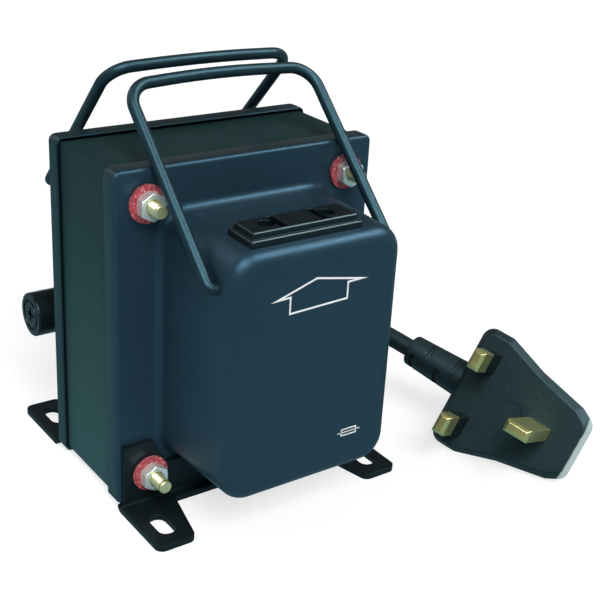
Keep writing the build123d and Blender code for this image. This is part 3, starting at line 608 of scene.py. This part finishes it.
def build_cover(side, name, node):
    """A folded flange with a drawn bell, from one extruded and rounded box."""
    s = settings().cover
    low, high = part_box(node)
    face = side * abs(low.y if side < 0 else high.y)
    root_y = side * (STACK_FACE + s.sheet)
    back_y = side * abs(high.y if side < 0 else low.y)
    bm = bmesh.new()
    block(bm, (low.x, min(root_y, back_y), low.z), (high.x, max(root_y, back_y), high.z))
    outward = Vector((0, side, 0))
    front = max(bm.faces, key=lambda f: f.normal.dot(outward))
    bmesh.ops.inset_region(bm, faces=[front], thickness=12 * MM, use_even_offset=True)
    for vert in front.verts:
        vert.co.x = math.copysign(s.bell_half_width, vert.co.x)
        vert.co.z = s.middle_z + math.copysign(s.bell_half_height, vert.co.z - s.middle_z)
    root_verts = set(front.verts)
    made = bmesh.ops.extrude_face_region(bm, geom=[front])["geom"]
    end_verts = [g for g in made if isinstance(g, bmesh.types.BMVert)]
    depth = abs(face - root_y)
    lean = depth * math.tan(s.draft)
    for vert in end_verts:
        vert.co.y = face
        vert.co.x -= math.copysign(lean, vert.co.x)
        vert.co.z -= math.copysign(lean, vert.co.z - s.middle_z)
    stale = [f for f in bm.faces if all(v in root_verts for v in f.verts)]
    bmesh.ops.delete(bm, geom=stale, context="FACES_ONLY")
    long_edges = [e for e in bm.edges if abs(e.verts[0].co.y - e.verts[1].co.y) > depth / 2]
    round_edges(bm, long_edges, s.bell_corner, 8)
    half_width = s.bell_half_width + MM
    half_height = s.bell_half_height + MM
    roots = [e for e in bm.edges if all(abs(v.co.y - root_y) < TOUCH and abs(v.co.x) < half_width
                                        and abs(v.co.z - s.middle_z) < half_height for v in e.verts)]
    round_edges(bm, roots, s.root, 5)
    ends = [e for e in bm.edges if all(abs(v.co.y - face) < TOUCH for v in e.verts)]
    round_edges(bm, ends, s.bell_edge, 8)
    skirt = [e for e in bm.edges if abs(e.verts[0].co.x - e.verts[1].co.x) < TOUCH
             and abs(e.verts[0].co.z - e.verts[1].co.z) < TOUCH and abs(e.verts[0].co.x) > high.x - TOUCH]
    round_edges(bm, skirt, s.corner, 4)

    def on_rim(vert):
        beside = abs(vert.co.x) > high.x - s.corner - TOUCH
        above = abs(vert.co.z - s.middle_z) > high.z - s.middle_z - s.corner - TOUCH
        return abs(vert.co.y - root_y) < TOUCH and (beside or above)

    rim = [e for e in bm.edges if all(on_rim(v) for v in e.verts) and len(e.link_faces) == 2
           and abs(e.link_faces[0].normal.dot(e.link_faces[1].normal)) < 0.5]
    round_edges(bm, rim, s.fold, 5)
    rear = [f for f in bm.faces if all(abs(v.co.y - back_y) < TOUCH for v in f.verts)]
    bmesh.ops.delete(bm, geom=rear, context="FACES")
    piece = finished(name, bm, CASE, "powder_coat", [node], 40, weighted=False)
    wall = piece.modifiers.new("sheet", "SOLIDIFY")
    wall.thickness = s.sheet
    wall.offset = -1
    weigh_normals(piece)


def bend_points(points, radii):
    """Bezier points along straight runs with round bends: (place, handle before, handle after)."""
    out = [(points[0], points[0], points[0])]
    for before, here, after, radius in zip(points, points[1:], points[2:], radii):
        one = (here - before).normalized()
        two = (after - here).normalized()
        turn = one.angle(two)
        cut = radius * math.tan(turn / 2)
        reach = radius * 4 / 3 * math.tan(turn / 4)
        start = here - one * cut
        end = here + two * cut
        out.append((start, start - one * reach / 3, start + one * reach))
        out.append((end, end - two * reach, end + two * reach / 3))
    out.append((points[-1], points[-1], points[-1]))
    return out


def round_tube(name, key, radius, around, along):
    """A curve with a round section, still without its spline."""
    curve = bpy.data.curves.new(name, "CURVE")
    curve.dimensions = "3D"
    curve.bevel_depth = radius
    curve.bevel_resolution = around
    curve.resolution_u = along
    curve.use_fill_caps = True
    curve.materials.append(MATERIALS[key])
    return placed(name, curve)


def build_rod(side, lean, name, body, node):
    """A bent rod as a round curve."""
    s = settings().rod
    along = Vector((0, -side * math.sin(lean), math.cos(lean)))
    pivot = Vector((0, side * s.pivot_y, s.pivot_z))
    x_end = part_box(node)[1].x - s.diameter / 2 - s.turned_in

    def at(x, reach):
        return pivot + Vector((x, 0, 0)) + along * reach

    slope = 4 * s.bow / (2 * s.half_width)
    shoulder = s.reach - slope * s.corner * 0.2
    points = [
        at(-x_end, 0),
        at(-s.half_width, 0),
        at(-s.half_width, shoulder),
        at(0, s.reach + s.bow * 1.35),
        at(s.half_width, shoulder),
        at(s.half_width, 0),
        at(x_end, 0),
    ]
    bar_radius = 290 * MM
    radii = [s.foot_corner, s.corner, bar_radius, s.corner, s.foot_corner]
    piece = round_tube(name, "rod_coat", s.diameter / 2, 8, 16)
    spline = piece.data.splines.new("BEZIER")
    bends = bend_points(points, radii)
    spline.bezier_points.add(len(bends) - 1)
    for point, (place, before, after) in zip(spline.bezier_points, bends):
        point.co = place
        point.handle_left_type = "FREE"
        point.handle_right_type = "FREE"
        point.handle_left = before
        point.handle_right = after
    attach(piece, body)
    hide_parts(node)


def build_stud(bm, place, reach, side):
    """The threaded end of a stud, with a chamfered tip."""
    s = settings().fastener
    radius = s.stud_diameter / 2
    depth = s.pitch * 0.55
    root = radius - depth * 0.95
    frame_matrix = axis_frame((place[0], side * COVER_FACE, place[1]), (0, side, 0))
    lathe(bm, [(0, 0), (root, 0), (root, reach - 0.55 * MM), (root + 0.25 * MM, reach - 0.30 * MM),
               (root + 0.05 * MM, reach), (0, reach)], frame_matrix, 24)
    teeth = int((reach - 0.5 * MM) / s.pitch)
    steps = 24
    verts = []
    for tooth in range(teeth):
        base = tooth * s.pitch
        shrink = 0.7 if tooth == teeth - 1 else 1.0
        crest = radius - depth * (1 - shrink) - 0.02 * MM
        verts.append(bm.verts.new((radius - depth, 0, base)))
        verts.append(bm.verts.new((crest, 0, base + s.pitch * 0.42)))
        verts.append(bm.verts.new((crest, 0, base + s.pitch * 0.58)))
    edges = [bm.edges.new(pair) for pair in zip(verts, verts[1:])]
    bmesh.ops.spin(bm, geom=verts + edges, cent=(0, 0, 0), axis=(0, 0, 1), dvec=(0, 0, s.pitch / steps),
                   angle=2 * PI, steps=steps, use_merge=False, use_duplicate=False)
    settle(bm, frame_matrix)


def build_nut(frame_matrix):
    """Hexagonal nut: a ring with both outer corners turned off, cut back to its six flats."""
    s = settings().fastener
    corner = s.nut_flats / math.sqrt(3)
    bore = s.stud_diameter / 2 + 0.05 * MM
    sink = 0.35 * MM
    slope = (corner - s.nut_flats / 2) * math.tan(PI / 6)
    face = s.nut_flats / 2 * 0.98
    nut = bmesh.new()
    lathe(nut, [(bore, 0), (face, 0), (corner, slope * 1.1), (corner, s.nut_height - slope * 1.1),
                (face, s.nut_height), (bore + sink, s.nut_height), (bore, s.nut_height - sink), (bore, 0)],
          Matrix(), 48)
    for number in range(6):
        away = Vector((math.cos(number * PI / 3), math.sin(number * PI / 3), 0))
        cut = bmesh.ops.bisect_plane(nut, geom=nut.verts[:] + nut.edges[:] + nut.faces[:],
                                     plane_co=away * s.nut_flats / 2, plane_no=away, clear_outer=True)
        rim = [g for g in cut["geom_cut"] if isinstance(g, bmesh.types.BMEdge)]
        bmesh.ops.edgenet_fill(nut, edges=rim)
    bmesh.ops.transform(nut, matrix=frame_matrix, verts=nut.verts)
    mesh = bpy.data.meshes.new("nut")
    nut.to_mesh(mesh)
    nut.free()
    return mesh


def solid_copy(node):
    """A CAD solid's mesh with its loose triangles joined to whole faces."""
    bm = bmesh.new()
    bm.from_mesh(bpy.data.objects[node].data)
    bmesh.ops.remove_doubles(bm, verts=bm.verts, dist=0.001 * MM)
    bmesh.ops.dissolve_limit(bm, angle_limit=math.radians(0.6), use_dissolve_boundaries=False,
                             verts=bm.verts, edges=bm.edges)
    return bm


def sharp_edges(bm, angle=25):
    """Edges where two faces meet at more than an angle."""
    return [e for e in bm.edges if e.is_manifold and e.calc_face_angle() > math.radians(angle)]


def soften(node, name, key, body, radius, segments=2):
    """A copy of a CAD solid with its edges rounded, which stands for it."""
    bm = solid_copy(node)
    round_edges(bm, sharp_edges(bm), radius, segments)
    return finished(name, bm, body, key, [node], 40)


# Operators


class StageOperator(bpy.types.Operator):
    """Make the camera, the lamps, the white surroundings and the floor"""

    bl_idname = "transformer.stage"
    bl_label = "Stage"

    def execute(self, context):
        s = settings().stage
        camera = placed("camera", bpy.data.cameras.new("camera"))
        camera.data.lens = s.lens
        camera.data.sensor_width = 36
        camera.data.clip_start = 0.01
        camera.data.clip_end = 20
        view = aimed((-0.1682, -0.2720, 0.1917), (0.54497, 0.73407, -0.40515))
        camera.matrix_world = view @ Matrix.Rotation(s.roll, 4, "Z")
        context.scene.camera = camera
        context.scene.view_settings.view_transform = "Standard"
        for name, place, spread, power, tint, lights_all in (
            ("key", (-0.22, -0.74, 0.80), 30, 2.4, (1.0, 0.99, 0.97), True),
            ("gloss_left", (-0.41, -0.41, 0.74), 22, 3.0, (0.92, 0.98, 1.0), False),
            ("gloss_right", (0.55, -0.38, 0.71), 22, 3.0, (0.92, 0.98, 1.0), False),
            ("rear", (-0.55, 0.95, 0.85), 40, 0.6, (1.0, 1.0, 1.0), True),
        ):
            lamp = bpy.data.lights.new(name, "SUN")
            lamp.angle = math.radians(spread)
            lamp.energy = power
            lamp.color = tint
            holder = placed(name, lamp)
            holder.matrix_world = aimed(place, -Vector(place))
            holder.visible_diffuse = lights_all
        card = bpy.data.lights.new("card", "AREA")
        card.shape = "RECTANGLE"
        card.size = 0.10
        card.size_y = 0.03
        card.energy = 0.05
        card.color = (0.72, 1.0, 0.97)
        holder = placed("card", card)
        holder.matrix_world = aimed((-0.17, 0.0, 0.02), (0.17, 0.0, 0.0))
        holder.visible_camera = False
        holder.visible_glossy = False
        self.surroundings(context)
        self.floor(s.floor)
        return {"FINISHED"}

    def surroundings(self, context):
        """World that is white to the camera, dark overhead in reflections and a soft grey as light."""
        world = bpy.data.worlds.new("studio")
        context.scene.world = world
        world.use_nodes = True
        graph = Graph(world.node_tree)
        straight, glossy = graph.rays()
        height = graph.node("ShaderNodeSeparateXYZ", {}, {0: graph.node("ShaderNodeTexCoord")}, "Z")
        ceiling = graph.node("ShaderNodeMapRange", {}, {"Value": height, "From Min": 0.03, "From Max": 0.28,
                                                        "To Min": 0.40, "To Max": 0.10})
        shown = straight.maths("MAXIMUM", glossy * ceiling, straight)
        white = graph.node("ShaderNodeBackground", {}, {"Color": (1, 1, 1, 1), "Strength": shown})
        ground = graph.tree.nodes["Background"]
        graph.feed(ground.inputs["Color"], (0.86, 0.95, 1.0, 1))
        graph.feed(ground.inputs["Strength"], 0.20)
        seen = straight.maths("MAXIMUM", straight, glossy)
        mixed = graph.node("ShaderNodeMixShader", {}, {0: seen, 1: Wire(graph, ground.outputs[0]), 2: white})
        graph.feed(graph.tree.nodes["World Output"].inputs["Surface"], mixed)

    def floor(self, half):
        """Floor that is white to the camera, keeps the shadow and is blue-green in reflections."""
        bm = bmesh.new()
        bmesh.ops.create_grid(bm, x_segments=1, y_segments=1, size=half)
        mesh = bpy.data.meshes.new("floor")
        bm.to_mesh(mesh)
        bm.free()
        floor = placed("floor", mesh)
        shader = Shader("floor", specular_ior_level=0.1)
        shader.finish(base_color=(0.86, 0.87, 0.88, 1), roughness=0.8)
        straight, glossy = shader.rays()
        light = shader.node("ShaderNodeEmission", {}, {"Strength": 1.40})
        sheen = shader.node("ShaderNodeEmission", {}, {"Color": (0.42, 0.80, 0.92, 1), "Strength": 0.48})
        plain = Wire(shader, shader.surface.outputs[0])
        reflected = shader.node("ShaderNodeMixShader", {}, {0: glossy, 1: plain, 2: sheen})
        added = shader.node("ShaderNodeMixShader", {}, {0: 0.5, 1: plain, 2: light})
        mixed = shader.node("ShaderNodeMixShader", {}, {0: straight, 1: reflected, 2: added})
        output = next(n for n in shader.tree.nodes if n.type == "OUTPUT_MATERIAL")
        shader.feed(output.inputs["Surface"], mixed)
        mesh.materials.append(shader.material)


class FinishOperator(bpy.types.Operator):
    """Make the materials and give the CAD nodes theirs"""

    bl_idname = "transformer.finishes"
    bl_label = "Finishes"

    def execute(self, context):
        f = settings().finish
        powder_coat()
        laminated_paint()
        black_paint()
        rod_coat()
        moulded_black()
        grained_rubber("cord_rubber", 0.12)
        grained_rubber("plug_rubber", 0.40, 0.11)
        plated("zinc", f.zinc, 0.32, 0.75)
        plated("yellow_zinc", f.stud, 0.30, 0.8)
        plated("pin_brass", f.brass, 0.26, 0.9)
        red_fibre()
        wound("copper_wire", (0.42, 0.16, 0.06), 900.0)
        wound("wound_tape", (0.62, 0.50, 0.16), 90.0)
        plain_moulding("pale_moulding", (0.62, 0.60, 0.50), 0.45)
        plain_moulding("white_print", (0.90, 0.93, 0.95), 0.5)
        clear_glass()
        paint("laminated_paint", "core_e_stack", "core_i_stack")
        paint("moulded_black", "fuse_holder_nut", "plug_pin_sleeves")
        paint("plug_rubber", "plug_screw")
        paint("pin_brass", "outlet_contacts")
        paint("pale_moulding", "coil_former")
        paint("copper_wire", "primary_winding", "secondary_winding")
        paint("wound_tape", "winding_tape")
        paint("clear_glass", "fuse_glass_tube")
        paint("zinc", "fuse_end_caps")
        return {"FINISHED"}


class CordOperator(bpy.types.Operator):
    """Make the cord, from the gland round its put-away coil to the plug"""

    bl_idname = "transformer.cord"
    bl_label = "Cord"

    def execute(self, context):
        s = settings().cord
        radius = s.diameter / 2
        pitch = s.diameter + s.turn_gap
        layer = s.diameter + s.layer_gap
        half = s.quarters * PI / 4

        def coil_point(turned):
            away = abs(turned)
            height = radius + (layer if turned > 0 else 0)
            if away < PI / 2:
                away = turned * turned / PI + PI / 4
                height = radius + layer * (1 + math.sin(turned)) / 2
            out = s.coil_inner + pitch * away / (2 * PI)
            angle = PI - turned - half
            return Vector((s.coil_x + out * math.cos(angle), s.coil_y + out * math.sin(angle), height))

        steps = s.quarters * 6
        coil = [coil_point(half - 2 * half * step / steps) for step in range(steps + 1)]
        run_in = [Vector(p) * MM for p in ((71.55, 43.0, 30.0), (88.6, 52.2, 26.2), (98.2, 68.2, 19.0),
                                           (98.8, 90.0, 9.6))]
        run_out = [Vector(p) * MM for p in ((15.3, 94.0, 3.0), (22.5, 77.0, 3.3), (36.5, 65.0, 6.8),
                                            (47.5, 51.5, 12.5), (55.5, 34.0, 19.5), (59.5, 15.5, 26.0))]
        plug = plug_frame()
        p = settings().plug
        tail = Vector((0, -p.base_end - p.tail_length, -p.tail_depth))
        tail_end = plug @ tail
        run_out.append(plug @ (tail + Vector((0, -16 * MM, 0))))
        points = [gland_end, *run_in, *coil, *run_out, tail_end]
        cord = round_tube("mains_cord", "cord_rubber", radius, 6, 6)
        spline = cord.data.splines.new("NURBS")
        spline.points.add(len(points) - 1)
        for point, place in zip(spline.points, points):
            point.co = (*place, 1)
        spline.order_u = 3
        spline.use_endpoint_u = True
        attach(cord, CASE)
        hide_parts("cord_from_gland", "cord_coil", "cord_to_plug")
        return {"FINISHED"}


def plug_frame():
    """Matrix of the plug: X across the live pins, Y toward the earth pin, Z out along the pins."""
    return axis_frame((71.2 * MM, -45.2 * MM, 19.6 * MM), (-0.836, -0.369, 0.406), (-0.456, 0.055, -0.888))


class CoverOperator(bpy.types.Operator):
    """Make both pressed covers"""

    bl_idname = "transformer.covers"
    bl_label = "Covers"

    def execute(self, context):
        build_cover(-1, "front_pressed_cover", "front_cover")
        build_cover(1, "rear_pressed_cover", "rear_cover")
        return {"FINISHED"}


class RodOperator(bpy.types.Operator):
    """Make both carry rods"""

    bl_idname = "transformer.rods"
    bl_label = "Carry rods"

    def execute(self, context):
        s = settings().rod
        build_rod(-1, s.front_lean, "front_round_rod", "front_rod", "front_carry_rod")
        build_rod(1, s.rear_lean, "rear_round_rod", "rear_rod", "rear_carry_rod")
        return {"FINISHED"}


class FastenerOperator(bpy.types.Operator):
    """Make the threaded studs, nuts and fibre washers at the corners of both covers"""

    bl_idname = "transformer.fasteners"
    bl_label = "Fasteners"

    def execute(self, context):
        s = settings().fastener
        middle = settings().cover.middle_z
        for level, reach, node in ((1, s.upper_reach, "upper_studs"), (-1, s.lower_reach, "lower_studs")):
            bm = bmesh.new()
            for side in (-1, 1):
                for x in (-s.stud_x, s.stud_x):
                    build_stud(bm, (x, middle + level * s.stud_z), reach, side)
            finished(node + "_threaded", bm, CASE, "yellow_zinc", [node], 50)
        nuts = bmesh.new()
        washers = bmesh.new()
        half = s.washer_diameter / 2
        hole = s.stud_diameter / 2 + 0.15 * MM
        thick = s.washer_thickness
        edge = 0.18 * MM
        for side in (-1, 1):
            for level in (-1, 1):
                for x in (-s.stud_x, s.stud_x):
                    seat = side * (COVER_FACE + (s.plate if level < 0 else 0))
                    z = middle + level * s.stud_z
                    lathe(washers, [(hole, 0), (half - edge, 0), (half, edge), (half, thick - edge),
                                    (half - edge, thick), (hole, thick), (hole, 0)],
                          axis_frame((x, seat, z), (0, side, 0)), 40)
                    mesh = build_nut(axis_frame((x, seat + side * thick, z), (0, side, 0)))
                    nuts.from_mesh(mesh)
                    bpy.data.meshes.remove(mesh)
        finished("corner_nuts", nuts, CASE, "zinc", ["hex_nuts"], 25, weighted=False)
        finished("corner_washers", washers, CASE, "red_fibre", ["fibre_washers"], 50)
        return {"FINISHED"}


class FuseOperator(bpy.types.Operator):
    """Make the fuse holder's cap and body"""

    bl_idname = "transformer.fuse"
    bl_label = "Fuse holder"

    def execute(self, context):
        soften("fuse_cap", "fuse_knob_moulded", "moulded_black", "fuse_knob", 0.22 * MM)
        soften("fuse_holder_body", "fuse_holder_moulded", "moulded_black", CASE, 0.2 * MM)
        return {"FINISHED"}


class OutletOperator(bpy.types.Operator):
    """Make the stepped outlet"""

    bl_idname = "transformer.outlet"
    bl_label = "Outlet"

    def execute(self, context):
        soften("outlet_body", "outlet_moulded", "moulded_black", CASE, 0.18 * MM)
        return {"FINISHED"}


class FeetOperator(bpy.types.Operator):
    """Make both bent feet"""

    bl_idname = "transformer.feet"
    bl_label = "Feet"

    def execute(self, context):
        s = settings().foot
        for end in ("front", "rear"):
            node = end + "_foot_bracket"
            low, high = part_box(node)
            side = math.copysign(1, low.y + high.y)
            upright = 21.7 * MM
            bm = solid_copy(node)
            for vert in bm.verts:
                outside = abs(vert.co.x) - (high.x - s.band)
                if outside > 0 and vert.co.z > s.plate:
                    vert.co.x -= math.copysign(outside * s.inset / s.band, vert.co.x)
                slot = Vector((math.copysign(s.slot_x, vert.co.x), side * s.slot_y))
                away = vert.co.xy - slot
                if away.length < s.slot_reach and vert.co.z < s.plate:
                    vert.co.xy = slot + away * s.slot_growth
                beyond = abs(vert.co.y) - upright
                if beyond > 0 and side < 0:
                    vert.co.y += beyond * s.shorten
            round_edges(bm, sharp_edges(bm), s.edge, 2)
            finished(end + "_bent_foot", bm, CASE, "black_paint", [node], 40)
        return {"FINISHED"}


class MarkOperator(bpy.types.Operator):
    """Print a plain arrow that points at the outlet, and a fuse sign, on the front cover"""

    bl_idname = "transformer.marks"
    bl_label = "Printed signs"

    def execute(self, context):
        s = settings().mark
        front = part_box("front_cover")[0].y
        bm = bmesh.new()
        right = s.stem_half * 0.92
        arrow = [(-s.roof_half, 0), (s.roof_tip, s.roof_rise), (s.roof_half, 0), (right, 0),
                 (right, -s.stem_drop), (-s.stem_half, -s.stem_drop), (-s.stem_half, 0)]
        slant = math.tan(s.askew)
        printed_outline(bm, [(x, s.arrow_z + z + x * slant) for x, z in arrow], s.line)
        for half, rise, line in ((s.fuse_half, s.fuse_rise, s.line * 0.75), (s.lead, s.line * 0.3, 0)):
            box = [(-half, -rise), (half, -rise), (half, rise), (-half, rise)]
            printed_outline(bm, [(s.fuse_x + x, s.fuse_z + z) for x, z in box], line)
        made = bmesh.ops.extrude_face_region(bm, geom=bm.faces[:])["geom"]
        outer = [g for g in made if isinstance(g, bmesh.types.BMVert)]
        bmesh.ops.translate(bm, verts=outer, vec=(0, -s.film, 0))
        bmesh.ops.translate(bm, verts=bm.verts, vec=(0, front + s.film / 4, 0))
        finished("printed_signs", bm, CASE, "white_print", angle=60, weighted=False)
        return {"FINISHED"}


class GlandOperator(bpy.types.Operator):
    """Make the tapered strain relief where the cord leaves the rear cover"""

    bl_idname = "transformer.gland"
    bl_label = "Gland"

    def execute(self, context):
        s = settings().gland
        low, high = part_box("cord_gland")
        flange = 2.2 * MM
        half = s.flange / 2
        neck = 4.8 * MM
        lift = 0.02 * MM
        chamfer = 0.6 * MM
        wall = high.x - s.boot_length - flange
        profile = [(0, low.x - wall), (neck, low.x - wall), (neck, lift), (half, lift),
                   (half, flange - chamfer), (half - chamfer, flange), (s.boot / 2, flange)]
        for rib in range(s.ribs):
            share = (rib + 1) / (s.ribs + 1)
            radius = (s.boot + (s.tip - s.boot) * share) / 2
            groove = radius - 0.8 * MM
            start = flange + s.boot_length * share
            profile += [(radius, start - 0.2 * MM), (groove, start), (groove, start + 1.4 * MM),
                        (radius - 0.1 * MM, start + 1.6 * MM)]
        end = flange + s.boot_length
        profile += [(s.tip / 2, end - 0.3 * MM), (s.tip / 2 - 0.3 * MM, end), (0, end)]
        bm = bmesh.new()
        lathe(bm, profile, axis_frame((wall, s.y, s.z), (1, 0, 0), (0, 1, 0)), 48)
        finished("ribbed_gland", bm, CASE, "cord_rubber", ["cord_gland"], 40)
        return {"FINISHED"}


class PlugOperator(bpy.types.Operator):
    """Make the plug's moulded body with its tail, and its pins"""

    bl_idname = "transformer.plug"
    bl_label = "Plug"

    def execute(self, context):
        p = settings().plug
        turn = plug_frame()
        bm = solid_copy("plug_body")
        bmesh.ops.transform(bm, matrix=turn.inverted(), verts=bm.verts)
        sharp = sharp_edges(bm)
        start = -p.base_end - 0.2 * MM
        body = [e for e in sharp if min(v.co.y for v in e.verts) > start]
        round_edges(bm, body, p.body_edge, 3)
        tail = [e for e in sharp_edges(bm) if max(v.co.y for v in e.verts) < start]
        round_edges(bm, tail, p.tail_edge, 1)
        bmesh.ops.transform(bm, matrix=turn, verts=bm.verts)
        finished("plug_moulding", bm, CASE, "plug_rubber", ["plug_body"], 40)
        soften("plug_live_pins", "plug_live_blades", "pin_brass", CASE, p.pin_edge)
        soften("plug_earth_pin", "plug_earth_blade", "pin_brass", CASE, p.pin_edge)
        return {"FINISHED"}


STEPS = (
    StageOperator,
    FinishOperator,
    CordOperator,
    CoverOperator,
    RodOperator,
    FastenerOperator,
    FeetOperator,
    OutletOperator,
    FuseOperator,
    GlandOperator,
    PlugOperator,
    MarkOperator,
)


class TransformerPanel(bpy.types.Panel):
    """Lists the steps that dress the transformer."""

    bl_idname = "VIEW3D_PT_transformer"
    bl_label = "Transformer"
    bl_space_type = "VIEW_3D"
    bl_region_type = "UI"
    bl_category = "Transformer"

    def draw(self, context):
        for step in STEPS:
            self.layout.operator(step.bl_idname)
        for name in TransformerSettings.__annotations__:
            box = self.layout.box()
            box.label(text=name.title())
            group = getattr(context.scene.transformer, name)
            for prop in group.__annotations__:
                box.prop(group, prop)


GROUPS = (CoverSettings, RodSettings, FastenerSettings, FootSettings, GlandSettings, CordSettings,
          PlugSettings, MarkSettings, FinishSettings, StageSettings)
CLASSES = (*GROUPS, TransformerSettings, *STEPS, TransformerPanel)


def register():
    for item in CLASSES:
        bpy.utils.register_class(item)
    bpy.types.Scene.transformer = PointerProperty(type=TransformerSettings)


def unregister():
    del bpy.types.Scene.transformer
    for item in reversed(CLASSES):
        bpy.utils.unregister_class(item)


def main():
    """Dress the whole object."""
    register()
    bpy.ops.transformer.stage()
    bpy.ops.transformer.finishes()
    bpy.ops.transformer.cord()
    bpy.ops.transformer.covers()
    bpy.ops.transformer.rods()
    bpy.ops.transformer.fasteners()
    bpy.ops.transformer.feet()
    bpy.ops.transformer.outlet()
    bpy.ops.transformer.fuse()
    bpy.ops.transformer.gland()
    bpy.ops.transformer.plug()
    bpy.ops.transformer.marks()


if __name__ == "__main__":
    main()
